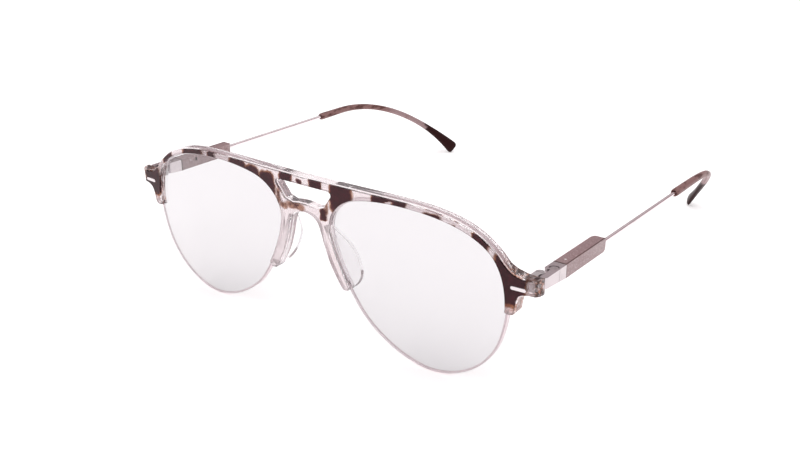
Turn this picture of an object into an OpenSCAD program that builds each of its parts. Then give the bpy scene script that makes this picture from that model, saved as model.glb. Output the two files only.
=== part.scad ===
// Folding half-rim eyeglasses with a straight top bar, an arched saddle bridge, a laminated acetate front,
// nylon-held lenses, spring hinges, slim temple housings with a cell and a board inside, wire temples and tips.
// The glasses stand open on the lower edges of both lenses and on the ends of both tips.
// +X is the wearer's left, +Y runs back along the temples, +Z is up.

/* [Front] */
// Overall width over the two endpieces
front_w = 143.4; // [143:0.1:143.4]
// Height of the top bar's upper edge above the table
brow_z = 47.2; // [47:0.1:48]
// Radius of the front surface, in plan
front_r = 983; // [800:1:1200]
// Radius of the rear surface, in plan
rear_r = 950; // [900:1:1000]
// Thickness of the front at the bridge
front_t = 3.0; // [2.8:0.1:3.6]
// Thickness of the patterned facing
facing_t = 0.7; // [0.5:0.05:0.9]
// Step from the outline of the clear layer to that of the facing
facing_step = 0.35; // [0.2:0.05:0.5]
// Lower edge of the endpieces
endpiece_z0 = 30.1; // [30:0.05:30.3]
// Upper edge of the endpieces
endpiece_z1 = 34.4; // [34:0.1:35]
// Rear face of the endpieces, behind the front of the bridge
endpiece_back = 6.1; // [5.8:0.1:6.2]

/* [Lenses] */
// Thickness of a lens
lens_t = 1.6; // [1.4:0.1:1.8]
// Radius of the front surface of a lens
lens_r = 300; // [250:1:500]
// How far the rim laps over the edge of a lens
rim_lap = 0.8; // [0.6:0.05:0.9]
// Clearance between a lens and its groove in the rim
lens_gap = 0.03; // [0.02:0.01:0.06]
// Width of the cord groove in the edge of a lens
groove_w = 0.7; // [0.5:0.05:0.8]
// Depth of the cord groove in the edge of a lens
groove_d = 0.6; // [0.4:0.05:0.8]

/* [Nose pads] */
// Thickness of a nose pad
pad_t = 1.8; // [1.2:0.1:2.2]
// Reach of a nose pad behind the bridge
pad_back = 9.6; // [8:0.1:10.5]

/* [Hinges] */
// Distance of a hinge pin from the middle of the front
pin_x = 68.2; // [68:0.05:68.4]
// Distance of a hinge pin behind the front of the bridge
pin_y = 9.8; // [9.6:0.05:10]
// Height of the middle of a hinge above the table
pin_z = 32.2; // [32:0.1:32.4]
// Radius of a hinge pin
pin_r = 0.5; // [0.4:0.01:0.55]
// Running clearance round a hinge pin
pin_gap = 0.04; // [0.02:0.01:0.08]
// Outer radius of the hinge knuckles
knuckle_r = 1.25; // [1.1:0.05:1.3]
// Height of the middle knuckle
eye_h = 1.2; // [1.0:0.05:1.3]
// Height of each outer knuckle
ear_h = 0.8; // [0.7:0.05:0.9]
// Gap between two knuckles
knuckle_gap = 0.05; // [0.03:0.01:0.08]

/* [Temples] */
// Slope of a temple down to the rear, in degrees
temple_drop = 2.43; // [2.2:0.01:2.7]
// Outer face of a temple, from the hinge pin
temple_out = 3.5; // [3.4:0.05:3.6]
// Inner face of a temple, from the hinge pin
temple_in = -0.2; // [-0.3:0.05:-0.15]
// Top of the hinge box and housing, above the middle of the hinge
temple_top = 1.72; // [1.65:0.01:1.8]
// Bottom of the housing, below the middle of the hinge
temple_bottom = -1.98; // [-2.05:0.01:-1.9]
// Rear end of the hinge box, behind the pin
box_end = 7.1; // [7.0:0.1:7.3]
// Rear end of the housing, behind the pin
pod_end = 29.4; // [29:0.1:31]
// Radius of the temple wire
wire_r = 0.55; // [0.45:0.01:0.6]
// Distance of the wire outboard of the pin
wire_x = 2.2; // [2.1:0.05:2.3]
// Front end of the tip, behind the pin
tip_start = 77.3; // [74:0.1:80]
// Start of the bend, behind the pin
bend_start = 89.3; // [88:0.1:90]
// Radius of the bend
bend_r = 59; // [57:0.5:61]
// Angle of the bend
bend_a = 61.89; // [61:0.01:62.5]
// Angle by which the bend turns in towards the head
bend_roll = 36; // [34:1:38]
// Angle by which the end of the tip is turned round its own length
tip_twist = 30; // [0:1:40]
// Width of the tip at its flat end
tip_end_w = 5.6; // [4.5:0.1:6]

/* [Hidden] */

// Half of the depth over everything, from the front of the bridge to the rear of the tips
half_depth = 75.77;
// A hair, by which a cutting tool passes the face it cuts
eps = 0.01;
round_fn = 48;
fine_fn = 720;
half_w = front_w / 2;

// ---- Outlines ----

// Point on a smooth curve between p1 and p2, with p0 and p3 as their neighbours
function curve_point(p0, p1, p2, p3, t) =
    0.5 * (2 * p1 + (p2 - p0) * t + (2 * p0 - 5 * p1 + 4 * p2 - p3) * t * t
    + (3 * p1 - p0 - 3 * p2 + p3) * t * t * t);

// Closed smooth curve through keys, with n points for each key
function closed_curve(keys, n) = let (k = len(keys)) [
    for (i = [0 : k - 1], j = [0 : n - 1])
        curve_point(keys[(i + k - 1) % k], keys[i], keys[(i + 1) % k], keys[(i + 2) % k], j / n)
];

// Open smooth curve through keys, with its own end points doubled
function open_curve(keys, n) = let (k = len(keys)) concat([
    for (i = [0 : k - 2], j = [0 : n - 1])
        curve_point(keys[max(i - 1, 0)], keys[i], keys[i + 1], keys[min(i + 2, k - 1)], j / n)
], [keys[k - 1]]);

// Clockwise or anticlockwise closed outline moved out by d, to its left-hand side
function grown(pts, d) = let (k = len(pts)) [
    for (i = [0 : k - 1])
        let (
            a = pts[(i + k - 1) % k],
            b = pts[(i + 1) % k],
            s = (b - a) / norm(b - a)
        )
        pts[i] + d * [-s[1], s[0]]
];

// Points on an arc of radius r round c, from angle a0 to a1
function arc(c, r, a0, a1, n) = [
    for (i = [0 : n])
        let (a = a0 + (a1 - a0) * i / n)
        c + r * [cos(a), sin(a)]
];

// Edge of a left lens seen from the front, clockwise from the top: x, z
lens_keys = [
    [34, 46.2], [43.5, 45.5], [51.7, 43.6], [58.3, 40.0], [61.9, 34.9], [63.4, 28.0], [62.9, 20.5],
    [60.3, 12.3], [55.2, 5.7], [48.1, 1.4], [40.2, 0], [32.0, 1.9], [25.1, 5.6], [19.3, 10.5],
    [14.4, 17.6], [11.0, 24.2], [8.9, 30.2], [8.4, 35.4], [10.8, 40.4], [16.1, 44.1], [24.4, 45.8]
];
lens_edge = closed_curve(lens_keys, 5);

// Outer edge of the left half of the front, from the middle of the top bar to the end of the temple leg
outer_keys = [
    [0, brow_z], [14, brow_z + 0.1], [28, brow_z + 0.2], [40, brow_z - 0.1], [49, 45.7], [55.6, 43.1],
    [60.4, 39.5], [63.0, 36.7], [65.2, 35.0], [68, endpiece_z1], [half_w, endpiece_z1]
];
leg_keys = [
    [half_w, endpiece_z0], [69, endpiece_z0], [67.0, 29.4], [66.1, 27.7], [65.7, 25.2], [65.2, 24.1],
    [64.2, 23.6], [62.6, 23.9]
];
// Nose side of the left nose leg, from its lower end to the arch under the bridge
nose_keys = [
    [15.2, 18.0], [14.2, 16.6], [12.9, 16.4], [11.5, 17.9], [8.4, 23.4], [6.5, 28.8], [5.4, 32.8],
    [4.4, 34.9], [2.6, 36.2], [0, 36.7]
];
// Left half of the window between the two bridges
window_half = concat([[0, 44.5]], arc([9.0, 43.8], 0.7, 90, -25, 4), arc([6.6, 40.2], 0.5, -25, -100, 3),
    [[4.4, 39.0], [2.2, 39.35], [0, 39.45]]);

// The left half of the front, whose lens opening isn't cut yet
half_front = concat(open_curve(outer_keys, 4), open_curve(leg_keys, 3), [[40, 30], [20, 24]],
    open_curve(nose_keys, 3));

// A half outline and its mirror image as one closed outline, where the first and last points are at x = 0
function whole(pts) = concat(pts, [for (i = [len(pts) - 2 : -1 : 1]) [-pts[i][0], pts[i][1]]]);

// ---- Placing ----

// Puts the middle of the whole depth at y = 0
module centred() {
    translate([0, -half_depth, 0]) children();
}

// The left side as drawn, or its mirror image
module on_side(left) {
    if (left) {
        children();
    } else {
        mirror([1, 0, 0]) children();
    }
}

// From a hinge pin's own axes to the axes of the front
module at_pin() {
    translate([pin_x, pin_y, pin_z]) children();
}

// From a sloping temple's axes, whose origin is the hinge pin, to the axes of the front
module at_temple() {
    at_pin() rotate([-temple_drop, 0, 0]) children();
}

// An x, z outline given depth along y, from y0 to y1
module upright(y0, y1) {
    translate([0, y1, 0]) rotate([90, 0, 0]) linear_extrude(y1 - y0) children();
}

// A box between two corners
module block(lo, hi) {
    translate(lo) cube(hi - lo);
}

// ---- Front ----

// Everything behind the front surface moved back by skin
module behind_front(skin) {
    translate([0, front_r, -1]) cylinder(r = front_r - skin, h = 60, $fn = fine_fn);
}

// Everything behind the rear surface
module behind_rear() {
    translate([0, front_t + rear_r, -2]) cylinder(r = rear_r, h = 62, $fn = fine_fn);
}

// The left endpiece seen from above, where the front is deeper than its rear surface
module endpiece_plan() {
    slope_x = 61.8;
    full_x = 65.6;
    translate([0, 0, -1]) linear_extrude(60) polygon([
        [slope_x, -1], [slope_x, 4.6], [full_x, endpiece_back], [80, endpiece_back], [80, -1]
    ]);
}

// The outline of the front seen from above: its ends have rounded front corners
module plan_outline() {
    corner_r = 3.2;
    corner = [half_w - corner_r, endpiece_back - 0.5];
    right_end = concat([[half_w, endpiece_back]], arc(corner, corner_r, 0, -80, 8), [[half_w - 6, -1]]);
    left_end = [for (i = [len(right_end) - 1 : -1 : 0]) [-right_end[i][0], right_end[i][1]]];
    translate([0, 0, -1]) linear_extrude(60) polygon(concat(right_end, left_end));
}

// The outline of the front seen from the front, drawn in by inset
module front_outline(inset) {
    difference() {
        polygon(grown(whole(half_front), -inset));
        for (left = [true, false]) {
            on_side(left) polygon(grown(lens_edge, inset - rim_lap));
        }
        polygon(grown(whole(window_half), inset));
    }
}

// The space between two surfaces that follow the front of the left lens, at depths d0 and d1 behind it
module lens_layer(d0, d1) {
    tilt = 2.0;
    middle = [36.2, 0.75, 23];
    translate(middle) rotate([0, 0, tilt]) translate([0, lens_r, 0]) difference() {
        sphere(r = lens_r - d0, $fn = 360);
        sphere(r = lens_r - d1, $fn = 360);
    }
}

// The left lens grown by gap all round, without its edge groove
module lens_blank(gap) {
    intersection() {
        upright(-2, 10) polygon(grown(lens_edge, gap));
        lens_layer(-gap, lens_t + gap);
    }
}

// A band inside the free edge of the left lens, from below the edge by start down to depth
module edge_band(start, depth, width) {
    below_legs = [[0, 18.2], [40, 19], [70, 25.4], [70, -2], [0, -2]];
    intersection() {
        upright(-2, 10) difference() {
            intersection() {
                polygon(grown(lens_edge, -start));
                polygon(below_legs);
            }
            polygon(grown(lens_edge, -depth));
        }
        lens_layer((lens_t - width) / 2, (lens_t + width) / 2);
    }
}

// The core of a hinge leaf inside the left endpiece, grown by gap
core_half_h = 1.1;
module leaf_core(gap) {
    block(
        [pin_x - 1.25 - gap, 4.0 - gap, pin_z - core_half_h - gap],
        [71.0 + gap, endpiece_back, pin_z + core_half_h + gap]
    );
}

// The rivet through the left endpiece and the leaf's core, grown by gap
module rivet(gap) {
    head_r = 0.7;
    head_h = 0.3;
    shank_r = 0.4;
    translate([70.2, 5.0, 0]) {
        translate([0, 0, endpiece_z0 + 0.1])
            cylinder(r = shank_r + gap, h = endpiece_z1 - endpiece_z0 - 0.2, $fn = round_fn);
        translate([0, 0, endpiece_z1 - head_h - gap]) cylinder(r = head_r + gap, h = head_h + gap, $fn = round_fn);
        translate([0, 0, endpiece_z0]) cylinder(r = head_r + gap, h = head_h + gap, $fn = round_fn);
    }
}

// The bar let into the facing of the left endpiece, from the depth of its pocket to the height it stands proud
module bar_slot(gap) {
    bar_z = 31.6;
    bar_x0 = 65.0;
    bar_x1 = 68.2;
    half_h = 0.5 + gap;
    intersection() {
        upright(-2, 8) {
            translate([bar_x0, bar_z]) circle(r = half_h, $fn = round_fn);
            translate([bar_x0, bar_z - half_h]) square([bar_x1 - bar_x0, 2 * half_h]);
            translate([bar_x1, bar_z]) circle(r = half_h, $fn = round_fn);
        }
        behind_front(-0.15);
    }
}

module front_frame() {
    color([0.9, 0.85, 0.86, 0.6]) centred() difference() {
        intersection() {
            upright(-1, endpiece_back) front_outline(0);
            plan_outline();
            behind_front(facing_t);
        }
        difference() {
            behind_rear();
            for (left = [true, false]) {
                on_side(left) endpiece_plan();
            }
        }
        for (left = [true, false]) {
            on_side(left) {
                lens_blank(lens_gap);
                leaf_core(0.02);
                rivet(0.02);
            }
        }
    }
}

module pattern_facing() {
    color([0.27, 0.17, 0.16]) centred() difference() {
        intersection() {
            upright(-1, endpiece_back) front_outline(facing_step);
            plan_outline();
            behind_front(0);
        }
        behind_front(facing_t);
        for (left = [true, false]) {
            on_side(left) bar_slot(0.02);
        }
    }
}

module lens(left) {
    color([0.94, 0.94, 0.96, 0.3]) centred() on_side(left) difference() {
        lens_blank(0);
        edge_band(-eps, groove_d, groove_w);
    }
}

module lens_cord(left) {
    color([0.95, 0.93, 0.93, 0.7]) centred() on_side(left) edge_band(0.12, groove_d - 0.03, groove_w - 0.1);
}

module nose_pad(left) {
    lean = 24.1;
    foot = [14.1, 0, 16.5];
    reach = (pad_back - front_t) / 7.3;
    wing_keys = [
        [2.5, 18.9], [4.2, 18.6], [7.2, 14.6], [9.4, 10.6], [10.1, 6.8], [9.7, 3.5], [8.3, 1.4], [5.6, 0.3], [2.5, 0.2]
    ];
    wing = [for (k = wing_keys) [front_t + (k[0] - 3) * reach, k[1]]];
    color([0.93, 0.92, 0.93, 0.8]) centred() on_side(left) intersection() {
        translate(foot) rotate([0, -lean, 0]) rotate([90, 0, 90])
            linear_extrude(pad_t, center = true) polygon(open_curve(wing, 4));
        behind_rear();
    }
}

module accent_bar(left) {
    color([0.85, 0.84, 0.85]) centred() on_side(left) difference() {
        bar_slot(0);
        behind_front(facing_t - 0.05);
    }
}

// ---- Hinges ----

eye_z = eye_h / 2;
ear_z = eye_z + knuckle_gap;
ear_top = ear_z + ear_h;
head_r = 0.85;
head_h = 0.35;

module hinge_leaf(left) {
    // The ears' arms are narrower on the outer side, where the cheek of the hinge box passes
    arm_in = -1.25;
    arm_out = 0.7;
    arm_front = endpiece_back - pin_y + 0.02;
    web_back = -1.75;
    color([0.78, 0.77, 0.78]) centred() on_side(left) difference() {
        union() {
            leaf_core(0);
            at_pin() {
                for (z = [ear_z, -ear_top]) {
                    translate([0, 0, z]) cylinder(r = knuckle_r, h = ear_h, $fn = round_fn);
                    block([arm_in, arm_front, z], [arm_out, 0, z + ear_h]);
                }
                block([arm_in, arm_front, -ear_top], [arm_out, web_back, ear_top]);
                block([arm_in, arm_front - 0.5, -core_half_h], [arm_out, web_back, core_half_h]);
            }
        }
        at_pin() {
            translate([0, 0, -ear_top - 1]) cylinder(r = pin_r + 0.02, h = 2 * ear_top + 2, $fn = round_fn);
            translate([0, 0, ear_top - head_h]) cylinder(r = head_r + 0.05, h = 1, $fn = round_fn);
        }
        rivet(0.02);
    }
}

module core_rivet(left) {
    color([0.35, 0.3, 0.3]) centred() on_side(left) rivet(0);
}

module hinge_screw(left) {
    slot_w = 0.22;
    slot_d = 0.15;
    color([0.7, 0.7, 0.72]) centred() on_side(left) at_pin() difference() {
        union() {
            translate([0, 0, -ear_top]) cylinder(r = pin_r, h = 2 * ear_top - eps, $fn = round_fn);
            translate([0, 0, ear_top - head_h + 0.02]) cylinder(r = head_r, h = head_h - 0.04, $fn = round_fn);
        }
        translate([-1, -slot_w / 2, ear_top - slot_d]) cube([2, slot_w, 1]);
    }
}

// The slider's bar runs along the temple here, beside the pin
bar_x = 0.9;
bar_w = 1.1;
bar_h = 1.0;
tail_r = 0.35;
// Front wall of the spring chamber, and the ends of the chamber and of the slider's tail
guide_front = 2.1;
guide_back = 2.9;
chamber_end = 6.7;
chamber_r = 0.85;
tail_end = 6.0;
nut_h = 0.6;

module slider(left) {
    color([0.78, 0.77, 0.78]) centred() on_side(left) {
        difference() {
            union() {
                at_pin() translate([0, 0, -eye_z]) cylinder(r = knuckle_r, h = eye_h, $fn = round_fn);
                at_temple() block([bar_x - bar_w / 2, 0.3, -bar_h / 2], [bar_x + bar_w / 2, guide_back, bar_h / 2]);
                at_temple() translate([bar_x, guide_back - 0.2, 0]) rotate([-90, 0, 0])
                    cylinder(r = tail_r, h = tail_end - guide_back + 0.2, $fn = round_fn);
            }
            at_pin() translate([0, 0, -2]) cylinder(r = pin_r + pin_gap, h = 4, $fn = round_fn);
        }
    }
}

module slider_nut(left) {
    color([0.6, 0.6, 0.62]) centred() on_side(left) at_temple()
        translate([bar_x, tail_end - nut_h, 0]) rotate([-90, 0, 0]) difference() {
            cylinder(r = chamber_r - 0.1, h = nut_h, $fn = round_fn);
            translate([0, 0, -1]) cylinder(r = tail_r + 0.01, h = 3, $fn = round_fn);
        }
}

// A helix of round wire as one closed mesh, with steps rings and sides points in each
module coil(r, wire, pitch, turns, steps, sides) {
    points = [
        for (i = [0 : steps], j = [0 : sides - 1])
            let (
                a = 360 * turns * i / steps,
                b = 360 * j / sides,
                q = r + wire * cos(b)
            )
            [q * cos(a), q * sin(a), pitch * turns * i / steps + wire * sin(b)]
    ];
    walls = [
        for (i = [0 : steps - 1], j = [0 : sides - 1])
            let (n = (j + 1) % sides)
            [i * sides + j, (i + 1) * sides + j, (i + 1) * sides + n, i * sides + n]
    ];
    ends = [
        [for (j = [0 : sides - 1]) j],
        [for (j = [sides - 1 : -1 : 0]) steps * sides + j]
    ];
    polyhedron(points, concat(walls, ends), convexity = 10);
}

module slider_spring(left) {
    spring_wire = 0.11;
    spring_len = tail_end - nut_h - guide_back - 4 * spring_wire;
    turns = 5;
    color([0.6, 0.6, 0.62]) centred() on_side(left) at_temple()
        translate([bar_x, guide_back + 2 * spring_wire, 0]) rotate([-90, 0, 0])
            coil(0.58, spring_wire, spring_len / turns, turns, 50, 6);
}

// ---- Temples ----

screw_at = [1.85, 3.7];

// The outline of a hinge box from above: a cheek outboard of the knuckles, then the full width
module box_plan() {
    cheek_in = 1.65;
    cheek_front = endpiece_back - pin_y + 0.35;
    chamfer = 0.6;
    polygon([
        [cheek_in, cheek_front], [temple_out - chamfer, cheek_front], [temple_out, cheek_front + chamfer],
        [temple_out, box_end], [temple_in, box_end], [temple_in, guide_front + 0.4],
        [temple_in + 0.4, guide_front], [cheek_in, guide_front]
    ]);
}

module hinge_box(left) {
    front_bottom = -1.15;
    seam_y = 3.6;
    seam_w = 0.1;
    color([0.88, 0.87, 0.88]) centred() on_side(left) at_temple() difference() {
        union() {
            intersection() {
                translate([0, 0, -3]) linear_extrude(6) box_plan();
                // From the side the box is a wedge, lower at its rear end
                rotate([90, 0, 90]) translate([0, 0, -1]) linear_extrude(6) polygon([
                    [-4, front_bottom], [-4, temple_top], [box_end, temple_top], [box_end, temple_bottom]
                ]);
            }
            // Tongue that holds the housing
            block([0.6, box_end - 0.2, -1.2], [1.4, box_end + 2.0, 0.2]);
        }
        block([bar_x - bar_w / 2 - 0.03, 0, -bar_h / 2 - 0.03], [bar_x + bar_w / 2 + 0.03, guide_back, bar_h / 2 + 0.03]);
        translate([bar_x, guide_back - eps, 0]) rotate([-90, 0, 0])
            cylinder(r = chamber_r, h = chamber_end - guide_back, $fn = round_fn);
        translate([screw_at[0], screw_at[1], temple_top - 0.5]) cylinder(r = 1.35, h = 1, $fn = round_fn);
        translate([screw_at[0], screw_at[1], 0.6]) cylinder(r = 0.37, h = 1, $fn = round_fn);
        // Seam between the cheek and the collar, on the outer face
        block([temple_out - seam_w, seam_y, -3], [temple_out + 1, seam_y + seam_w, 3]);
    }
}

module box_screw(left) {
    color([0.5, 0.47, 0.48]) centred() on_side(left) at_temple()
        translate([screw_at[0], screw_at[1], 0]) difference() {
            union() {
                translate([0, 0, 0.65]) cylinder(r = 0.35, h = 0.7, $fn = round_fn);
                translate([0, 0, temple_top - 0.48]) cylinder(r = 1.2, h = 0.35, $fn = round_fn);
            }
            translate([-2, -0.15, temple_top - 0.28]) cube([4, 0.3, 1]);
        }
}

pod_start = box_end + 0.15;
cover_in = temple_out - 0.4;
seam = 0.04;

// The outer form of a housing with its cover: a bar whose rear end is rounded from above and from the side
module pod_form() {
    in_r = 2.4;
    out_r = 0.9;
    low_r = 2.0;
    top_r = 0.9;
    intersection() {
        translate([0, 0, -3]) linear_extrude(6) polygon(concat(
            [[temple_in, pod_start]],
            arc([temple_in + in_r, pod_end - in_r], in_r, 180, 90, 8),
            arc([temple_out - out_r, pod_end - out_r], out_r, 90, 0, 5),
            [[temple_out, pod_start]]
        ));
        rotate([90, 0, 90]) translate([0, 0, -1]) linear_extrude(6) polygon(concat(
            [[pod_start, temple_bottom], [pod_start, temple_top]],
            arc([pod_end - top_r, temple_top - top_r], top_r, 90, 0, 5),
            arc([pod_end - low_r, temple_bottom + low_r], low_r, 0, -90, 8)
        ));
    }
}

cavity_lo = [0.3, pod_start + 0.9, -1.55];
cavity_hi = [cover_in - seam, 24.6, 1.3];
board_z = 0.65;
board_t = 0.35;
board_in = 0.5;
contact_ys = [11.2, 13.4];
light_at = [1.6, 10.0];

// The charging contacts through the inner wall of a housing, grown by gap
module contact_pins(gap) {
    for (y = contact_ys) {
        block([temple_in - gap, y - 0.35 - gap, 0.0 - gap], [board_in, y + 0.35 + gap, 1.0 + gap]);
    }
}

module light_pipe(gap) {
    translate([light_at[0], light_at[1], board_z + board_t]) cylinder(r = 0.3 + gap, h = 0.72, $fn = round_fn);
}

module housing(left) {
    color([0.64, 0.55, 0.56]) centred() on_side(left) at_temple() difference() {
        intersection() {
            pod_form();
            block([-1, 0, -3], [cover_in - seam, 40, 3]);
        }
        block(cavity_lo, cavity_hi + [1, 0, 0]);
        block([0.58, pod_start - 1, -1.22], [1.42, cavity_lo[1] + eps, 0.22]);
        translate([wire_x, cavity_hi[1] - eps, 0]) rotate([-90, 0, 0])
            cylinder(r = wire_r + 0.01, h = 10, $fn = round_fn);
        contact_pins(0.01);
        if (left) {
            light_pipe(0.01);
        }
    }
}

module housing_cover(left) {
    color([0.6, 0.51, 0.53]) centred() on_side(left) at_temple() intersection() {
        pod_form();
        block([cover_in, 0, -3], [temple_out + 1, 40, 3]);
    }
}

module cell(left) {
    cell_r = 0.95;
    color([0.75, 0.75, 0.78]) centred() on_side(left) at_temple()
        translate([1.7, 9.6, -0.5]) rotate([-90, 0, 0]) {
            cylinder(r = cell_r, h = 14, $fn = round_fn);
            translate([0, 0, 14 - eps]) cylinder(r = 0.4, h = 0.4, $fn = round_fn);
        }
}

module board(left) {
    chips = [[0.9, 12.0, 1.4, 2.2], [0.8, 15.6, 1.8, 3.0], [1.0, 20.0, 1.2, 1.6]];
    color([0.15, 0.35, 0.2]) centred() on_side(left) at_temple() {
        block([board_in, 9.2, board_z], [2.8, 24.2, board_z + board_t]);
        for (c = chips) {
            block([c[0], c[1], board_z + board_t - eps], [c[0] + c[2], c[1] + c[3], board_z + board_t + 0.2]);
        }
    }
}

module contacts(left) {
    color([0.85, 0.75, 0.5]) centred() on_side(left) at_temple() contact_pins(0);
}

module light_guide(left) {
    color([0.95, 0.95, 0.95]) centred() on_side(left) at_temple() light_pipe(0);
}

// How far the wire reaches round the bend, in degrees
core_a = 40;

// From axes whose Y axis runs along the wire at the start of the bend, and whose -X axis points to the
// middle of the bend, to a temple's axes
module at_bend() {
    translate([wire_x, bend_start, 0]) rotate([0, bend_roll - 90, 0]) children();
}

module temple_wire(left) {
    color([0.85, 0.83, 0.84]) centred() on_side(left) at_temple() {
        translate([wire_x, cavity_hi[1], 0]) rotate([-90, 0, 0])
            cylinder(r = wire_r, h = bend_start - cavity_hi[1], $fn = round_fn);
        at_bend() translate([-bend_r, 0, 0]) rotate_extrude(angle = core_a, $fn = 180)
            translate([bend_r, 0]) circle(r = wire_r, $fn = round_fn);
    }
}

tip_sides = 20;
tip_straight = bend_start - tip_start;
tip_len = tip_straight + bend_r * bend_a * PI / 180;
paddle_len = 23;
end_round = 1.5;

// How far the flat end has formed at distance s from the front of the tip, from 0 to 1
function flare(s) = pow(max(s - tip_len + paddle_len, 0) / paddle_len, 1.5);

// Half widths of the tip before its end is rounded: a rod that slims over its bend, then flares to a flat end
function slim(s) = 1.28 - 0.24 * min(s / 30, 1);
function tip_w(s) = slim(s) + (tip_end_w / 2 - 1.04) * flare(s);
function tip_t(s) = slim(s) - 0.06 * flare(s);

// A ring of the tip at distance s from its front end, w half wide and t half thick
function tip_ring(s, w, t) =
    let (
        a = max(s - tip_straight, 0) / bend_r * 180 / PI,
        along = min(s - tip_straight, 0),
        twist = tip_twist * min(flare(s), 1)
    )
    [
        for (j = [0 : tip_sides - 1])
            let (
                b = 360 * j / tip_sides,
                q = bend_r + w * cos(b) * cos(twist) - t * sin(b) * sin(twist)
            )
            [q * cos(a) - bend_r, q * sin(a) + along, w * cos(b) * sin(twist) + t * sin(b) * cos(twist)]
    ];

module temple_tip(left) {
    hole_r = (wire_r + 0.03) / cos(180 / tip_sides);
    hole_len = tip_straight + bend_r * (core_a + 1) * PI / 180;
    hole = [for (i = [14 : -1 : 0]) let (s = hole_len * i / 14) tip_ring(s, hole_r, hole_r)];
    mouth = [tip_ring(0, 1.0, 1.0), tip_ring(0.25, 1.2, 1.2)];
    body_len = tip_len - end_round;
    rod = [for (i = [0 : 24]) let (s = 1 + (body_len - 1) * i / 24) tip_ring(s, tip_w(s), tip_t(s))];
    end = [
        for (a = [18 : 18 : 72])
            tip_ring(
                body_len + end_round * sin(a),
                tip_w(body_len) - end_round * (1 - cos(a)),
                tip_t(body_len) * cos(a)
            )
    ];
    rings = concat(hole, mouth, rod, end);
    last = len(rings) - 1;
    points = [for (ring = rings) each ring];
    walls = [
        for (i = [0 : last - 1], j = [0 : tip_sides - 1])
            let (n = (j + 1) % tip_sides)
            [i * tip_sides + j, i * tip_sides + n, (i + 1) * tip_sides + n, (i + 1) * tip_sides + j]
    ];
    ends = [
        [for (j = [tip_sides - 1 : -1 : 0]) j],
        [for (j = [0 : tip_sides - 1]) last * tip_sides + j]
    ];
    color([0.42, 0.3, 0.3]) centred() on_side(left) at_temple() at_bend()
        polyhedron(points, concat(walls, ends), convexity = 10);
}

front_frame();
pattern_facing();
lens(true);  // left_lens
lens(false);  // right_lens
lens_cord(true);  // left_lens_cord
lens_cord(false);  // right_lens_cord
nose_pad(true);  // left_nose_pad
nose_pad(false);  // right_nose_pad
accent_bar(true);  // left_accent_bar
accent_bar(false);  // right_accent_bar
hinge_leaf(true);  // left_hinge_leaf
hinge_leaf(false);  // right_hinge_leaf
core_rivet(true);  // left_core_rivet
core_rivet(false);  // right_core_rivet
hinge_screw(true);  // left_hinge_screw
hinge_screw(false);  // right_hinge_screw
slider(true);  // left_slider
slider(false);  // right_slider
slider_nut(true);  // left_slider_nut
slider_nut(false);  // right_slider_nut
slider_spring(true);  // left_slider_spring
slider_spring(false);  // right_slider_spring
hinge_box(true);  // left_hinge_box
hinge_box(false);  // right_hinge_box
box_screw(true);  // left_box_screw
box_screw(false);  // right_box_screw
housing(true);  // left_housing
housing(false);  // right_housing
housing_cover(true);  // left_housing_cover
housing_cover(false);  // right_housing_cover
cell(true);  // left_cell
cell(false);  // right_cell
board(true);  // left_board
board(false);  // right_board
contacts(true);  // left_contacts
contacts(false);  // right_contacts
temple_wire(true);  // left_temple_wire
temple_wire(false);  // right_temple_wire
temple_tip(true);  // left_temple_tip
temple_tip(false);  // right_temple_tip
light_guide(true);  // left_light_guide
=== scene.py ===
import math
import bpy
from mathutils import Matrix, Vector


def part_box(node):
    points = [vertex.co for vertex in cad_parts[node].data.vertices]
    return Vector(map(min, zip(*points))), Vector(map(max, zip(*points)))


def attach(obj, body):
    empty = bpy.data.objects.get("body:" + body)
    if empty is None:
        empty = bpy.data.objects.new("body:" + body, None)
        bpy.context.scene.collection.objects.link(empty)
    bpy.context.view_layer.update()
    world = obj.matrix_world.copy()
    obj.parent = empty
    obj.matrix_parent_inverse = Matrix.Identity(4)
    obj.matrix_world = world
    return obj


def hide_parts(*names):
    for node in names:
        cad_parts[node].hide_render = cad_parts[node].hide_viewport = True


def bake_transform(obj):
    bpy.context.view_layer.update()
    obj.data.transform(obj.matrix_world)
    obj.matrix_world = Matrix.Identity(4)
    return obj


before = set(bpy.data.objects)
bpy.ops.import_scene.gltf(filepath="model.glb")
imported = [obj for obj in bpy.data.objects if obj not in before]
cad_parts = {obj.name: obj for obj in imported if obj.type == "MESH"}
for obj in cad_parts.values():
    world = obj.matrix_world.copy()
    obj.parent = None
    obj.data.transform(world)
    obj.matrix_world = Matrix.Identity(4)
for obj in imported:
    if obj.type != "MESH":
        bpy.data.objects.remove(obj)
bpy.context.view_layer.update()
mm = 0.001
sides = ("left", "right")
mergeGap = 0.002  # millimetres, within which the corners of a node's loose triangles are one point
sharpAngle = 40  # degrees, past which an edge is rounded
print("frame loaded:", len(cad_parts), "nodes")

# from the drawing's own axes, whose y starts at the front of the bridge, to the frame's
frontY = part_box("pattern_facing")[0].y


def place(x, y, z):
    return Vector((x * mm, y * mm + frontY, z * mm))


def deselect():
    bpy.ops.object.select_all(action="DESELECT")


def pick(piece):
    deselect()
    piece.select_set(True)
    bpy.context.view_layer.objects.active = piece


def applyModifiers(piece):
    pick(piece)
    for name in [m.name for m in piece.modifiers]:
        bpy.ops.object.modifier_apply(modifier=name)


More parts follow.
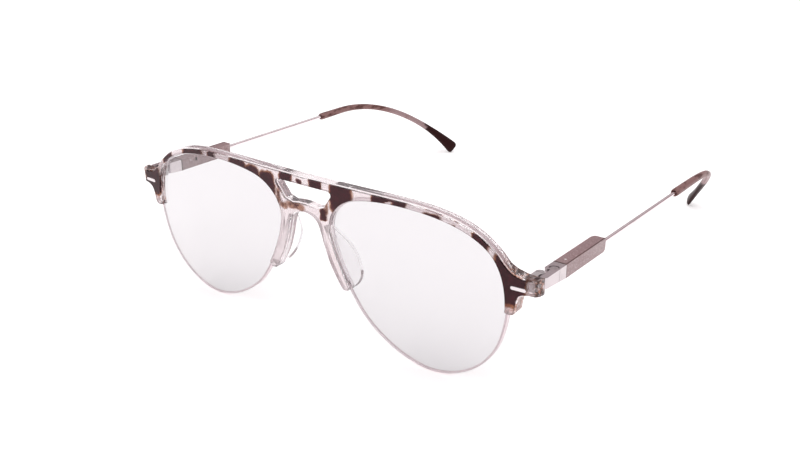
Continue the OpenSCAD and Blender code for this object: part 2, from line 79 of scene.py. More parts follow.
# copy of a CAD node, merged into one skin, with its flat areas joined into single faces
def copyNode(node, name, flat=1.0):
    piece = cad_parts[node].copy()
    piece.data = piece.data.copy()
    for key in list(piece.keys()):
        del piece[key]
    piece.parent = None
    piece.name = name
    piece.data.name = name
    piece.data.materials.clear()
    piece.hide_render = piece.hide_viewport = False
    bpy.context.scene.collection.objects.link(piece)
    pick(piece)
    bpy.ops.object.mode_set(mode="EDIT")
    bpy.ops.mesh.select_all(action="SELECT")
    bpy.ops.mesh.remove_doubles(threshold=mergeGap * mm)
    bpy.ops.mesh.customdata_custom_splitnormals_clear()
    if flat > 0:
        bpy.ops.mesh.dissolve_limited(angle_limit=math.radians(flat))
    bpy.ops.object.mode_set(mode="OBJECT")
    return piece


def shadeSmooth(piece, angle):
    pick(piece)
    bpy.ops.object.shade_smooth_by_angle(angle=math.radians(angle))


# rounds every sharp edge, and keeps the faces beside it shaded flat
def bevelEdges(piece, width, segments=3):
    shadeSmooth(piece, sharpAngle)
    bevel = piece.modifiers.new("roundEdges", "BEVEL")
    bevel.harden_normals = True
    bevel.width = width * mm
    bevel.segments = segments
    bevel.limit_method = "ANGLE"
    bevel.angle_limit = math.radians(sharpAngle)
    bevel.use_clamp_overlap = True
    bevel.miter_outer = "MITER_ARC"
    applyModifiers(piece)


# gives a finished piece its material and body, and hides the nodes it stands for
def settle(piece, material, body, slot, *nodes):
    piece.data.materials.clear()
    piece.data.materials.append(material)
    if body:
        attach(piece, body)
    if nodes:
        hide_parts(*nodes)
    return piece


class Nodes:
    def __init__(self, tree):
        self.tree = tree

    def add(self, kind, **values):
        node = self.tree.nodes.new(kind)
        for key, value in values.items():
            setattr(node, key, value)
        return node

    def link(self, a, b):
        self.tree.links.new(a, b)

    def math(self, operation, a, b=None, clamp=False):
        node = self.add("ShaderNodeMath", operation=operation, use_clamp=clamp)
        for i, v in enumerate((a, b)):
            if v is None:
                continue
            if isinstance(v, (int, float)):
                node.inputs[i].default_value = v
            else:
                self.link(v, node.inputs[i])
        return node.outputs[0]

    def mix(self, factor, a, b):
        node = self.add("ShaderNodeMix", data_type="RGBA")
        for i, v in ((0, factor), (6, a), (7, b)):
            if isinstance(v, (int, float)):
                node.inputs[i].default_value = v
            elif isinstance(v, tuple):
                node.inputs[i].default_value = (*v, 1)
            else:
                self.link(v, node.inputs[i])
        return node.outputs[2]

    def group(self, tree, **values):
        node = self.add("ShaderNodeGroup", node_tree=tree)
        for key, value in values.items():
            if isinstance(value, (int, float)):
                node.inputs[key].default_value = value
            elif isinstance(value, tuple):
                node.inputs[key].default_value = value
            else:
                self.link(value, node.inputs[key])
        return node

    def smooth(self, value, low, high, outLow=0.0, outHigh=1.0):
        node = self.add("ShaderNodeMapRange", interpolation_type="SMOOTHSTEP", clamp=True)
        self.link(value, node.inputs["Value"])
        for key, v in (("From Min", low), ("From Max", high), ("To Min", outLow), ("To Max", outHigh)):
            node.inputs[key].default_value = v
        return node.outputs["Result"]

    def noise(self, position, scale, detail=2):
        node = self.add("ShaderNodeTexNoise")
        node.inputs["Scale"].default_value = scale
        node.inputs["Detail"].default_value = detail
        self.link(position, node.inputs["Vector"])
        return node

    def stretch(self, position, amounts):
        node = self.add("ShaderNodeVectorMath", operation="MULTIPLY")
        node.inputs[1].default_value = amounts
        self.link(position, node.inputs[0])
        return node.outputs[0]


def newMaterial(name):
    material = bpy.data.materials.new(name)
    material.use_nodes = True
    net = Nodes(material.node_tree)
    shader = material.node_tree.nodes["Principled BSDF"]
    return material, net, shader


def newGroup(name, inputs, outputs):
    tree = bpy.data.node_groups.new(name, "ShaderNodeTree")
    for key, kind in inputs:
        tree.interface.new_socket(key, in_out="INPUT", socket_type=kind)
    for key, kind in outputs:
        tree.interface.new_socket(key, in_out="OUTPUT", socket_type=kind)
    net = Nodes(tree)
    return tree, net, net.add("NodeGroupInput"), net.add("NodeGroupOutput")


# position in millimetres, in the drawing's axes
def makePositionGroup():
    tree, net, _, out = newGroup("drawingPosition", [], [("Position", "NodeSocketVector")])
    coords = net.add("ShaderNodeTexCoord")
    scale = net.add("ShaderNodeVectorMath", operation="SCALE")
    scale.inputs["Scale"].default_value = 1 / mm
    shift = net.add("ShaderNodeVectorMath", operation="SUBTRACT")
    shift.inputs[1].default_value = (0, frontY / mm, 0)
    net.link(coords.outputs["Object"], scale.inputs[0])
    net.link(scale.outputs[0], shift.inputs[0])
    net.link(shift.outputs[0], out.inputs[0])
    return tree


# scale and fineness of a surface's slow ripple, hairline scratches and duller smudges
wearLook = {
    "rippleScale": 0.35, "rippleDetail": 1,
    "hairStretch": (1.1, 0.25, 6.0), "hairScale": 3.0, "hairDetail": 3,
    "smudgeScale": 0.16, "smudgeDetail": 4, "smudgeFade": (0.42, 0.75), "bump": 0.25,
}


# fine unevenness of a polished surface
def makePolishGroup():
    look = wearLook
    tree, net, start, out = newGroup(
        "polishWear",
        [("Position", "NodeSocketVector"), ("Ripple", "NodeSocketFloat"), ("Scratches", "NodeSocketFloat")],
        [("Height", "NodeSocketFloat"), ("Dulling", "NodeSocketFloat")],
    )
    position = start.outputs["Position"]
    ripple = net.noise(position, look["rippleScale"], look["rippleDetail"])
    hair = net.noise(net.stretch(position, look["hairStretch"]), look["hairScale"], look["hairDetail"])
    smudge = net.noise(position, look["smudgeScale"], look["smudgeDetail"])
    fine = net.math("MULTIPLY", hair.outputs[0], start.outputs["Scratches"])
    slow = net.math("MULTIPLY", ripple.outputs[0], start.outputs["Ripple"])
    net.link(net.math("ADD", fine, slow), out.inputs["Height"])
    net.link(net.smooth(smudge.outputs[0], *look["smudgeFade"]), out.inputs["Dulling"])
    return tree


# one blotch of a spotted acetate: 1 inside, falling to 0 at its uneven edge
def makeBlotchGroup():
    tree, net, start, out = newGroup(
        "blotch",
        [("Position", "NodeSocketVector"), ("Centre", "NodeSocketVector"), ("Size", "NodeSocketVector")],
        [("Inside", "NodeSocketFloat")],
    )
    away = net.add("ShaderNodeVectorMath", operation="SUBTRACT")
    net.link(start.outputs["Position"], away.inputs[0])
    net.link(start.outputs["Centre"], away.inputs[1])
    scaled = net.add("ShaderNodeVectorMath", operation="DIVIDE")
    net.link(away.outputs[0], scaled.inputs[0])
    net.link(start.outputs["Size"], scaled.inputs[1])
    split = net.add("ShaderNodeSeparateXYZ")
    net.link(scaled.outputs[0], split.inputs[0])
    across = net.math("POWER", net.math("ABSOLUTE", split.outputs["X"]), 4)
    down = net.math("POWER", net.math("ABSOLUTE", split.outputs["Z"]), 4)
    reach = net.math("POWER", net.math("ADD", across, down), 0.25)
    net.link(net.math("SUBTRACT", 1.0, reach), out.inputs["Inside"])
    return tree


positionGroup = makePositionGroup()
polishGroup = makePolishGroup()
blotchGroup = makeBlotchGroup()


def positionIn(net):
    return net.group(positionGroup).outputs["Position"]


def addBump(net, shader, height, strength, depth):
    bump = net.add("ShaderNodeBump")
    bump.inputs["Strength"].default_value = strength
    bump.inputs["Distance"].default_value = depth * mm
    net.link(height, bump.inputs["Height"])
    net.link(bump.outputs["Normal"], shader.inputs["Normal"])


# roughness goes from rough where a surface is clean to dulled where it is smudged
def addPolish(net, shader, position, ripple, scratches, rough, dulled, depth=0.02):
    wear = net.group(polishGroup, Position=position, Ripple=ripple, Scratches=scratches)
    addBump(net, shader, wear.outputs["Height"], wearLook["bump"], depth)
    net.link(net.smooth(wear.outputs["Dulling"], 0, 1, rough, dulled), shader.inputs["Roughness"])
    return wear


acetateIndex = 1.49  # index of refraction
acetateWear = {"ripple": 1.0, "scratches": 0.25}

# the mottling starts between the two distances from the middle, in millimetres
crystalLook = {
    "tint": (0.965, 0.90, 0.915), "cloud": (1.0, 0.965, 0.975), "cloudScale": 0.18, "cloudFade": (0.35, 0.7),
    "mottle": (0.36, 0.16, 0.11), "mottleScale": 0.9, "mottleFade": (0.45, 0.55), "mottleFrom": (58, 65),
    "detail": 3, "transmission": 0.91, "rough": 0.03, "dulled": 0.08,
}


def makeCrystal():
    look = crystalLook
    material, net, shader = newMaterial("crystalAcetate")
    position = positionIn(net)
    cloud = net.noise(position, look["cloudScale"], look["detail"])
    plain = net.mix(net.smooth(cloud.outputs[0], *look["cloudFade"]), look["tint"], look["cloud"])
    # brown mottling in the two endpieces
    spots = net.noise(position, look["mottleScale"], look["detail"])
    split = net.add("ShaderNodeSeparateXYZ")
    net.link(position, split.inputs[0])
    outboard = net.smooth(net.math("ABSOLUTE", split.outputs["X"]), *look["mottleFrom"])
    spotted = net.math("MULTIPLY", outboard, net.smooth(spots.outputs[0], *look["mottleFade"]))
    net.link(net.mix(spotted, plain, look["mottle"]), shader.inputs["Base Color"])
    shader.inputs["Transmission Weight"].default_value = look["transmission"]
    shader.inputs["IOR"].default_value = acetateIndex
    addPolish(net, shader, position, **acetateWear, rough=look["rough"], dulled=look["dulled"])
    return material


# blotches and stains: x, z of the middle, half width and half height, in millimetres
tortoiseLook = {
    "dark": (0.030, 0.004, 0.007), "brown": (0.34, 0.155, 0.08), "clear": (0.98, 0.935, 0.945),
    "wobble": 0.8, "wobbleScale": 0.55, "wobbleDetail": 2, "streakGrain": (0.45, 0.6),
    "transmission": 0.8, "gloss": (1.0, 0.58, 0.63), "specular": 0.08, "rough": 0.06, "dulled": 0.14,
    # depths inside a spot's edge over which each colour comes in
    "fringe": (-0.10, 0.0), "core": (0.03, 0.11), "stainEdge": (-0.2, 0.25), "streakEdge": (0.1, 0.6),
    "stainMost": 0.9,
    "blotches": (
        (-65.8, 32, 3.8, 5), (-56.8, 42, 2.3, 5), (-44.5, 45, 4.5, 4), (-36, 46, 1.5, 4),
        (-25.2, 44.3, 3.5, 3.0), (-19.2, 43.0, 3.0, 3.5), (-13.4, 41.9, 2.9, 4.2), (-6.2, 46, 2.4, 2.2),
        (-1.2, 45.6, 1.0, 0.7), (4.6, 46, 2.2, 2.2), (13.4, 43.6, 3.9, 4.6), (25.8, 45.6, 2.2, 4),
        (29, 47.2, 3.0, 0.9), (32.3, 44.8, 2.1, 4), (42, 44.4, 2.7, 1.5), (47.7, 43.2, 1.4, 1.1),
        (55.7, 40.4, 2.4, 3.9), (64.3, 34.8, 4.3, 8.4), (7.0, 37.6, 1.2, 1.8),
    ),
    # brown stains that stay half clear
    "stains": (
        (-9.3, 39.6, 0.8, 2.6), (-3.0, 38, 3.6, 1.1), (-7.4, 37.2, 1.4, 1.0), (66.3, 25.2, 1.2, 1.8),
        (-67.0, 26.0, 1.0, 1.4), (8.3, 39.6, 0.6, 1.8),
    ),
}


# several blotches as one mask: a point takes the value of the blotch that it lies deepest in
def joinBlotches(net, position, blotches):
    inside = None
    for x, z, halfWide, halfHigh in blotches:
        size = (halfWide, 1, halfHigh)
        one = net.group(blotchGroup, Position=position, Centre=(x, 0, z), Size=size).outputs["Inside"]
        inside = one if inside is None else net.math("MAXIMUM", inside, one)
    return inside


def makeTortoise():
    look = tortoiseLook
    material, net, shader = newMaterial("tortoiseAcetate")
    position = positionIn(net)
    shake = net.noise(position, look["wobbleScale"], look["wobbleDetail"])
    centred = net.add("ShaderNodeVectorMath", operation="SUBTRACT")
    net.link(shake.outputs["Color"], centred.inputs[0])
    centred.inputs[1].default_value = (0.5, 0.5, 0.5)
    wobble = net.add("ShaderNodeVectorMath", operation="SCALE")
    wobble.inputs["Scale"].default_value = look["wobble"] * 2
    net.link(centred.outputs[0], wobble.inputs[0])
    shaken = net.add("ShaderNodeVectorMath", operation="ADD")
    net.link(position, shaken.inputs[0])
    net.link(wobble.outputs[0], shaken.inputs[1])
    blotched = joinBlotches(net, shaken.outputs[0], look["blotches"])
    stained = joinBlotches(net, shaken.outputs[0], look["stains"])
    fringe = net.smooth(blotched, *look["fringe"])
    stain = net.smooth(stained, *look["stainEdge"], 0.0, look["stainMost"])
    brown = net.mix(net.math("MAXIMUM", fringe, stain), look["clear"], look["brown"])
    streaks = net.smooth(shake.outputs[0], *look["streakGrain"])
    streaked = net.math("MULTIPLY", net.smooth(stained, *look["streakEdge"]), streaks)
    core = net.math("MAXIMUM", net.smooth(blotched, *look["core"]), streaked)
    net.link(net.mix(core, brown, look["dark"]), shader.inputs["Base Color"])
    shader.inputs["IOR"].default_value = acetateIndex
    shader.inputs["Transmission Weight"].default_value = look["transmission"]
    shader.inputs["Specular IOR Level"].default_value = look["specular"]
    shader.inputs["Specular Tint"].default_value = (*look["gloss"], 1)
    addPolish(net, shader, position, **acetateWear, rough=look["rough"], dulled=look["dulled"])
    return material


# colour, transmission, roughness where clean and where dulled, strength of a painted glow that makes the
# part look lit
plasticLook = {
    "lensPlastic": ((0.742, 0.737, 0.750), 1.0, 0.0, 0.015, 0.0),
    "lensGroundEdge": ((0.80, 0.67, 0.70), 0.4, 0.5, 0.6, 0.2),
    "nylonCord": ((0.90, 0.80, 0.82), 0.5, 0.3, 0.4, 0.2),
    "lightGuide": ((0.97, 0.97, 0.97), 0.1, 0.12, 0.2, 0.0),
}
plasticIndex = 1.5  # index of refraction
hazeLook = {"scale": 0.05, "paler": 1.03}


def makeClearPlastic(name):
    colour, transmission, rough, dulled, paintedGlow = plasticLook[name]
    material, net, shader = newMaterial(name)
    position = positionIn(net)
    haze = net.noise(position, hazeLook["scale"])
    paler = tuple(min(1.0, c * hazeLook["paler"]) for c in colour)
    net.link(net.mix(haze.outputs[0], colour, paler), shader.inputs["Base Color"])
    shader.inputs["Transmission Weight"].default_value = transmission
    shader.inputs["IOR"].default_value = plasticIndex
    # painted glow: the lens's ground edge and the cord give off light in their own colour, as if lit
    shader.inputs["Emission Color"].default_value = (*colour, 1)
    shader.inputs["Emission Strength"].default_value = paintedGlow
    addPolish(net, shader, position, ripple=0.15, scratches=0.1, rough=rough, dulled=dulled, depth=0.004)
    return material


# colour, roughness where clean and where dulled, depth of the hairline scratches
metalLook = {
    "brightMetal": ((0.79, 0.74, 0.75), 0.14, 0.26, 0.4),
    # painted shade: the hinge boxes are the bright metal of the bars, darkened so their lit faces render
    # less bright
    "shadedBoxMetal": ((0.67, 0.61, 0.625), 0.14, 0.26, 0.4),
    "wireMetal": ((0.88, 0.79, 0.81), 0.16, 0.28, 0.4),
    "hingeSteel": ((0.66, 0.63, 0.635), 0.28, 0.42, 0.8),
    "springSteel": ((0.5, 0.5, 0.52), 0.25, 0.4, 0.8),
    "screwSteel": ((0.55, 0.49, 0.50), 0.25, 0.4, 0.8),
    "darkRivet": ((0.10, 0.07, 0.07), 0.3, 0.45, 0.6),
    "cellCan": ((0.7, 0.7, 0.72), 0.3, 0.45, 0.6),
    "contactPlate": ((0.42, 0.35, 0.355), 0.18, 0.3, 0.3),
}
dulledMetal = 0.86  # brightness of a metal where it is dulled


def makeMetal(name):
    colour, rough, dulled, scratches = metalLook[name]
    material, net, shader = newMaterial(name)
    position = positionIn(net)
    wear = addPolish(net, shader, position, ripple=0.5, scratches=scratches, rough=rough, dulled=dulled)
    darker = tuple(c * dulledMetal for c in colour)
    net.link(net.mix(wear.outputs["Dulling"], colour, darker), shader.inputs["Base Color"])
    shader.inputs["Metallic"].default_value = 1.0
    return material


podLook = {
    "base": (0.27, 0.165, 0.17), "flake": (0.55, 0.42, 0.42), "flakeMetal": 0.7,
    "flakeScale": 5.5, "flakeFade": (0.72, 0.95),
    "lacquer": 0.35, "lacquerRough": 0.08, "rough": 0.34, "dulled": 0.44,
}


def makePodPlastic():
    look = podLook
    material, net, shader = newMaterial("podPlastic")
    position = positionIn(net)
    flakes = net.add("ShaderNodeTexVoronoi", feature="F1")
    flakes.inputs["Scale"].default_value = look["flakeScale"]
    net.link(position, flakes.inputs["Vector"])
    split = net.add("ShaderNodeSeparateColor")
    net.link(flakes.outputs["Color"], split.inputs[0])
    chosen = net.smooth(split.outputs[0], *look["flakeFade"])
    net.link(net.mix(chosen, look["base"], look["flake"]), shader.inputs["Base Color"])
    net.link(net.math("MULTIPLY", chosen, look["flakeMetal"]), shader.inputs["Metallic"])
    shader.inputs["Coat Weight"].default_value = look["lacquer"]
    shader.inputs["Coat Roughness"].default_value = look["lacquerRough"]
    addPolish(net, shader, position, ripple=0.6, scratches=0.3, rough=look["rough"], dulled=look["dulled"])
    return material


# distances behind the front of the bridge at which the tip's colour changes, in millimetres
tipLook = {
    "brown": (0.27, 0.155, 0.148), "streak": (0.12, 0.055, 0.05), "pale": (0.36, 0.25, 0.255),
    "dark": (0.030, 0.010, 0.010), "paleFrom": (121, 128), "darkFrom": (138.5, 140.5),
    "leftSooner": 1.5, "grainScale": 0.8, "grainStretch": (0.9, 0.22, 0.9), "grainLength": 4.0,
    "grainDetail": 5, "grainRough": 0.6, "streakFade": (0.48, 0.62), "speckFade": (0.6, 0.68),
    "specular": 0.08, "rough": 0.3, "dulled": 0.4,
}


def makeTipAcetate():
    look = tipLook
    material, net, shader = newMaterial("tipAcetate")
    position = positionIn(net)
    grain = net.noise(net.stretch(position, look["grainStretch"]), look["grainScale"], look["grainDetail"])
    grain.inputs["Roughness"].default_value = look["grainRough"]
    split = net.add("ShaderNodeSeparateXYZ")
    net.link(position, split.inputs[0])
    # the left tip darkens sooner
    sooner = net.math("MULTIPLY", net.math("GREATER_THAN", split.outputs["X"], 0.0), look["leftSooner"])
    along = net.math("ADD", split.outputs["Y"], net.math("MULTIPLY", grain.outputs[0], look["grainLength"]))
    along = net.math("ADD", along, sooner)
    # the grain is a half on average, so the changes start half its length further back
    shift = look["grainLength"] / 2
    streaks = net.smooth(grain.outputs[0], *look["streakFade"])
    body = net.mix(streaks, look["brown"], look["streak"])
    pale = net.smooth(along, *(y + shift for y in look["paleFrom"]))
    specked = net.mix(net.smooth(grain.outputs[0], *look["speckFade"]), look["pale"], look["brown"])
    body = net.mix(pale, body, specked)
    dark = net.smooth(along, *(y + shift for y in look["darkFrom"]))
    net.link(net.mix(dark, body, look["dark"]), shader.inputs["Base Color"])
    shader.inputs["IOR"].default_value = acetateIndex
    shader.inputs["Specular IOR Level"].default_value = look["specular"]
    addPolish(net, shader, position, ripple=0.8, scratches=0.3, rough=look["rough"], dulled=look["dulled"])
    return material


padLook = {
    "colour": (0.99, 0.98, 0.985), "shade": 0.95, "grainScale": 4.0, "grainFade": (0.3, 0.7),
    "transmission": 1.0, "index": 1.3, "rough": 0.06, "dulled": 0.18, "bump": 0.2, "depth": 0.02,
}


def makePadSilicone():
    look = padLook
    material, net, shader = newMaterial("padSilicone")
    position = positionIn(net)
    grain = net.noise(position, look["grainScale"])
    shade = tuple(c * look["shade"] for c in look["colour"])
    net.link(net.mix(grain.outputs[0], look["colour"], shade), shader.inputs["Base Color"])
    dulling = net.smooth(grain.outputs[0], *look["grainFade"], look["rough"], look["dulled"])
    net.link(dulling, shader.inputs["Roughness"])
    shader.inputs["Transmission Weight"].default_value = look["transmission"]
    shader.inputs["IOR"].default_value = look["index"]
    addBump(net, shader, grain.outputs[0], look["bump"], look["depth"])
    return material


# colour, roughness where clean and where dulled
mouldedLook = {
    "boardLaminate": ((0.03, 0.12, 0.05), 0.4, 0.52),
    # dark strips: the line along the cover's edge, and the painted shadow at the housing's front
    "seamAndGapShadow": ((0.075, 0.035, 0.03), 0.45, 0.57),
}
dulledMoulding = 1.2  # brightness of a moulding where it is dulled


def makeMoulded(name):
    colour, rough, dulled = mouldedLook[name]
    material, net, shader = newMaterial(name)
    position = positionIn(net)
    wear = addPolish(net, shader, position, ripple=0.5, scratches=0.4, rough=rough, dulled=dulled)
    paler = tuple(min(1.0, c * dulledMoulding) for c in colour)
    net.link(net.mix(wear.outputs["Dulling"], colour, paler), shader.inputs["Base Color"])
    return material


crystal = makeCrystal()
tortoise = makeTortoise()
lensClear = makeClearPlastic("lensPlastic")
lensEdge = makeClearPlastic("lensGroundEdge")
nylon = makeClearPlastic("nylonCord")
lightPlastic = makeClearPlastic("lightGuide")
silicone = makePadSilicone()
brightMetal = makeMetal("brightMetal")
shadedBoxMetal = makeMetal("shadedBoxMetal")
wireMetal = makeMetal("wireMetal")
hingeSteel = makeMetal("hingeSteel")
springSteel = makeMetal("springSteel")
screwSteel = makeMetal("screwSteel")
darkRivet = makeMetal("darkRivet")
cellCan = makeMetal("cellCan")
contactPlate = makeMetal("contactPlate")
podPlastic = makePodPlastic()
tipAcetate = makeTipAcetate()
laminate = makeMoulded("boardLaminate")
seamAndGapShadow = makeMoulded("seamAndGapShadow")
print("materials made")


frontEdge = {"crystal": 0.42, "facing": 0.16}  # rounding of the edges, in millimetres


def buildFront():
    rim = copyNode("front_frame", "crystalFront")
    bevelEdges(rim, frontEdge["crystal"], 4)
    settle(rim, crystal, "front", "crystal_acetate", "front_frame")
    facing = copyNode("pattern_facing", "tortoiseFacing")
    bevelEdges(facing, frontEdge["facing"], 2)
    settle(facing, tortoise, "front", "tortoise_acetate", "pattern_facing")


# the two surfaces of a lens follow spheres round one centre, behind the lens's middle
lensForm = {
    "radius": 300, "thickness": 1.6, "tilt": 2.0, "middle": (36.2, 0.75, 23), "step": 4.0, "edge": 0.12,
    "near": 0.15,  # how far off a sphere a corner may be and still belong on it
    "facing": 0.8,  # how squarely a face looks forwards or back if it isn't on the ground edge
}


# cuts a mesh along evenly spaced planes across one axis
def sliceEvenly(piece, axis, step):
    values = [v.co[axis] for v in piece.data.vertices]
    normal = [0, 0, 0]
    normal[axis] = 1
    count = int((max(values) - min(values)) / (step * mm))
    pick(piece)
    bpy.ops.object.mode_set(mode="EDIT")
    for i in range(1, count + 1):
        point = [0, 0, 0]
        point[axis] = min(values) + i * (max(values) - min(values)) / (count + 1)
        bpy.ops.mesh.select_all(action="SELECT")
        bpy.ops.mesh.bisect(plane_co=point, plane_no=normal)
    bpy.ops.object.mode_set(mode="OBJECT")


# a lens cut into a fine grid that lies on its two spheres, whose ground edge has its own finish
def buildLens(side):
    form = lensForm
    out = 1 if side == "left" else -1
    lens = copyNode(side + "_lens", side + "LensBody", 0)
    sliceEvenly(lens, 0, form["step"])
    sliceEvenly(lens, 2, form["step"])
    x, y, z = form["middle"]
    turn = math.radians(form["tilt"])
    centre = place(out * (x - form["radius"] * math.sin(turn)), y + form["radius"] * math.cos(turn), z)
    for vertex in lens.data.vertices:
        reach = vertex.co - centre
        for radius in (form["radius"], form["radius"] - form["thickness"]):
            if abs(reach.length / mm - radius) < form["near"]:
                vertex.co = centre + reach.normalized() * radius * mm
    bevelEdges(lens, form["edge"], 2)
    settle(lens, lensClear, "front", "lens_plastic", side + "_lens")
    lens.data.materials.append(lensEdge)
    for face in lens.data.polygons:
        if abs(face.normal.y) < form["facing"]:
            face.material_index = 1


padForm = {"edge": 0.55, "segments": 5, "flat": 2}


def buildPad(side):
    pad = copyNode(side + "_nose_pad", side + "PadWing", padForm["flat"])
    bevelEdges(pad, padForm["edge"], padForm["segments"])
    settle(pad, silicone, "front", "pad_silicone", side + "_nose_pad")


accentEdge = 0.12  # rounding of the bar's edges, in millimetres


def buildAccent(side):
    bar = copyNode(side + "_accent_bar", side + "AccentBar")
    bevelEdges(bar, accentEdge)
    settle(bar, brightMetal, "front", "bright_metal", side + "_accent_bar")


templeSlope = 2.43  # degrees, down to the rear


# small hardware: node, rounding of its edges, material, body, slot
def hardware(side):
    hinge, temple = side + "_hinge", side + "_temple"
    return (
        ("hinge_leaf", 0.08, hingeSteel, "front", "hinge_steel"),
        ("core_rivet", 0.06, darkRivet, "front", "dark_rivet"),
        ("hinge_screw", 0.06, hingeSteel, "front", "hinge_steel"),
        ("slider", 0.06, hingeSteel, hinge, "hinge_steel"),
        ("hinge_box", 0.14, shadedBoxMetal, temple, "bright_metal"),
        ("box_screw", 0.06, screwSteel, temple, "screw_steel"),
        ("housing", 0.22, podPlastic, temple, "pod_plastic"),
        ("housing_cover", 0.12, podPlastic, temple, "pod_plastic"),
    )


def pieceName(side, node):
    words = node.split("_")
    return side + "".join(w.capitalize() for w in words) + "Body"


def buildHardware(side):
    for node, rounding, material, body, slot in hardware(side):
        piece = copyNode(f"{side}_{node}", pieceName(side, node))
        bevelEdges(piece, rounding)
        settle(piece, material, body, slot, f"{side}_{node}")


# the dark line along the cover's inner edge, and the painted shadow over the front end of the housing: how
# wide each one is and how far it stands proud
darkStripForm = {"side": 0.2, "front": 0.3, "proud": 0.05, "flat": 0.5}


# a thin slice of a node, on the side of a plane that its normal points away from, slightly swollen
def sliceOfNode(node, name, point, normal):
    darkStrip = copyNode(node, name, darkStripForm["flat"])
    pick(darkStrip)
    bpy.ops.object.mode_set(mode="EDIT")
    bpy.ops.mesh.select_all(action="SELECT")
    bpy.ops.mesh.bisect(plane_co=point, plane_no=normal, use_fill=True, clear_outer=True)
    bpy.ops.mesh.select_all(action="SELECT")
    bpy.ops.transform.shrink_fatten(value=darkStripForm["proud"] * mm)
    bpy.ops.object.mode_set(mode="OBJECT")
    return darkStrip


def buildSeamAndGapShadow(side):
    out = 1 if side == "left" else -1
    low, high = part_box(side + "_housing_cover")
    inner = low.x if side == "left" else high.x
    edge = (inner + out * darkStripForm["side"] * mm, 0, 0)
    seam = sliceOfNode(side + "_housing_cover", side + "CoverSeam", edge, (out, 0, 0))
    settle(seam, seamAndGapShadow, side + "_temple", "pod_plastic")
    front = (0, low.y + darkStripForm["front"] * mm, (low.z + high.z) / 2)
    drop = math.radians(templeSlope)
    rearward = (0, math.cos(drop), -math.sin(drop))
    # painted shadow: a dark slice over the housing's front end stands in for the shade in the gap behind the
    # hinge box
    gapShadow = sliceOfNode(side + "_housing", side + "FrontGapShadow", front, rearward)
    settle(gapShadow, seamAndGapShadow, side + "_temple", "pod_plastic")


coilSmooth = 50  # degrees, up to which a coil is shaded smooth


# the coil shortens between the nut and the front of its box as the temple is pulled back on the real frame;
# here it is copied as it stands, shaded smooth and fixed in place
def buildCoil(side):
    coil = copyNode(side + "_slider_spring", side + "SliderCoil", 0)
    shadeSmooth(coil, coilSmooth)
    settle(coil, springSteel, None, "spring_steel", side + "_slider_spring")
    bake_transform(coil)


tipForm = {"quads": 60, "levels": 2, "smooth": 45}  # angles in degrees


def buildTip(side):
    quads = math.radians(tipForm["quads"])
    tip = copyNode(side + "_temple_tip", side + "TipRod", 0)
    pick(tip)
    bpy.ops.object.mode_set(mode="EDIT")
    bpy.ops.mesh.select_all(action="SELECT")
    bpy.ops.mesh.tris_convert_to_quads(face_threshold=quads, shape_threshold=quads)
    bpy.ops.object.mode_set(mode="OBJECT")
    subdivide = tip.modifiers.new("smoothRod", "SUBSURF")
    subdivide.levels = tipForm["levels"]
    subdivide.render_levels = tipForm["levels"]
    applyModifiers(tip)
    shadeSmooth(tip, tipForm["smooth"])
    settle(tip, tipAcetate, side + "_temple", "tip_acetate", side + "_temple_tip")


# nodes whose own shape stays, with the material each one gets
keptNodes = {
    "lens_cord": nylon, "slider_nut": hingeSteel, "cell": cellCan,
    "board": laminate, "contacts": contactPlate, "light_guide": lightPlastic, "temple_wire": wireMetal,
}


def finishKept():
    for name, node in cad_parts.items():
        for ending, material in keptNodes.items():
            if name.endswith(ending):
                node.data.materials.clear()
                node.data.materials.append(material)


buildFront()
print("front built")
for side in sides:
    buildLens(side)
    buildPad(side)
    buildAccent(side)
    buildHardware(side)
    buildSeamAndGapShadow(side)
    buildCoil(side)
    buildTip(side)
    print(side, "side built")
finishKept()


# metres; each softbox has its place, width and power
stageLook = {
    "floor": (0.95, 0.95, 0.95), "floorShade": 0.995, "floorScale": 3, "floorGlow": 0.34,
    "floorSize": 16, "floorGap": 0.0002, "floorRough": 0.9, "floorSpecular": 0.1,
    "skyLow": (0.33, 0.252, 0.265), "skyHigh": (0.92, 0.885, 0.895), "skyFade": (0.15, 0.75),
    "aim": (0, 0, 0.02),
    "softboxes": {
        "keySoftbox": ((0.15, -0.1, 0.9), 0.9, 1.72),
        "fillSoftbox": ((-0.7, -0.3, 0.5), 0.6, 0.7),
    },
}


def buildStage():
    look = stageLook
    deselect()
    bpy.ops.mesh.primitive_plane_add(size=look["floorSize"], location=(0, 0, -look["floorGap"]))
    floor = bpy.context.active_object
    floor.name = "paleFloor"
    material, net, shader = newMaterial("paleFloor")
    grain = net.noise(net.add("ShaderNodeTexCoord").outputs["Object"], look["floorScale"])
    shade = tuple(c * look["floorShade"] for c in look["floor"])
    net.link(net.mix(grain.outputs[0], look["floor"], shade), shader.inputs["Base Color"])
    shader.inputs["Roughness"].default_value = look["floorRough"]
    shader.inputs["Specular IOR Level"].default_value = look["floorSpecular"]
    shader.inputs["Emission Color"].default_value = (*look["floor"], 1)
    shader.inputs["Emission Strength"].default_value = look["floorGlow"]
    floor.data.materials.append(material)


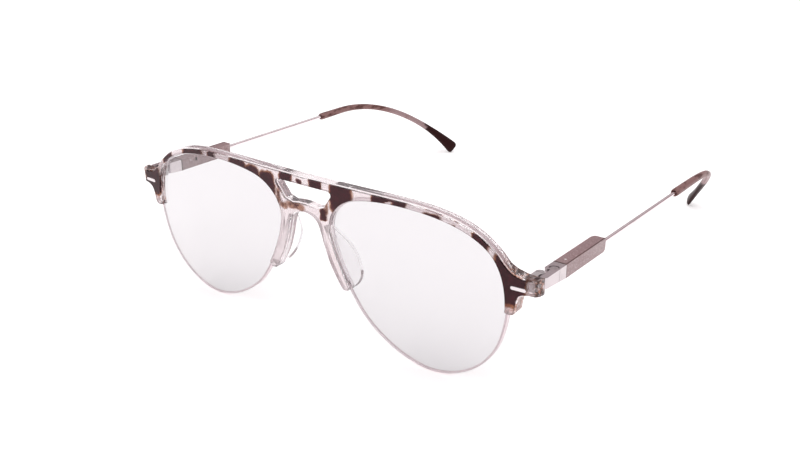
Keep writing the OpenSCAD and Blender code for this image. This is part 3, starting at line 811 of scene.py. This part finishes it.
def addSoftbox(name, spot, width, power):
    light = bpy.data.lights.new(name, "AREA")
    light.shape = "DISK"
    light.size = width
    light.energy = power
    lamp = bpy.data.objects.new(name, light)
    bpy.context.scene.collection.objects.link(lamp)
    lamp.location = spot
    lamp.rotation_euler = (Vector(stageLook["aim"]) - Vector(spot)).to_track_quat("-Z", "Y").to_euler()


def buildLight():
    world = bpy.context.scene.world or bpy.data.worlds.new("studio")
    bpy.context.scene.world = world
    world.use_nodes = True
    background = world.node_tree.nodes["Background"]
    net = Nodes(world.node_tree)
    split = net.add("ShaderNodeSeparateXYZ")
    net.link(net.add("ShaderNodeTexCoord").outputs["Generated"], split.inputs[0])
    height = net.smooth(split.outputs["Z"], *stageLook["skyFade"])
    net.link(net.mix(height, stageLook["skyLow"], stageLook["skyHigh"]), background.inputs["Color"])
    for name, (spot, width, power) in stageLook["softboxes"].items():
        addSoftbox(name, spot, width, power)


# the camera's place in the drawing's axes, in millimetres, and its turn in degrees
cameraLook = {
    "place": (174.3, -184.0, 142.7), "azimuth": 37.5, "elevation": 23.65, "roll": -1.5,
    "lens": 45, "sensor": 36, "clip": (0.01, 20),
}


def buildCamera():
    data = bpy.data.cameras.new("stageCamera")
    camera = bpy.data.objects.new("stageCamera", data)
    bpy.context.scene.collection.objects.link(camera)
    data.sensor_width = cameraLook["sensor"]
    data.lens = cameraLook["lens"]
    data.clip_start, data.clip_end = cameraLook["clip"]
    azimuth = math.radians(cameraLook["azimuth"])
    elevation = math.radians(cameraLook["elevation"])
    flat = math.cos(elevation)
    back = Vector((math.sin(azimuth) * flat, -math.cos(azimuth) * flat, math.sin(elevation)))
    turn = (-back).to_track_quat("-Z", "Y").to_matrix().to_4x4()
    camera.matrix_world = turn @ Matrix.Rotation(math.radians(cameraLook["roll"]), 4, "Z")
    camera.location = place(*cameraLook["place"])
    bpy.context.scene.camera = camera


buildStage()
buildLight()
buildCamera()
bpy.context.scene.view_settings.view_transform = "Standard"

print("scene ready")
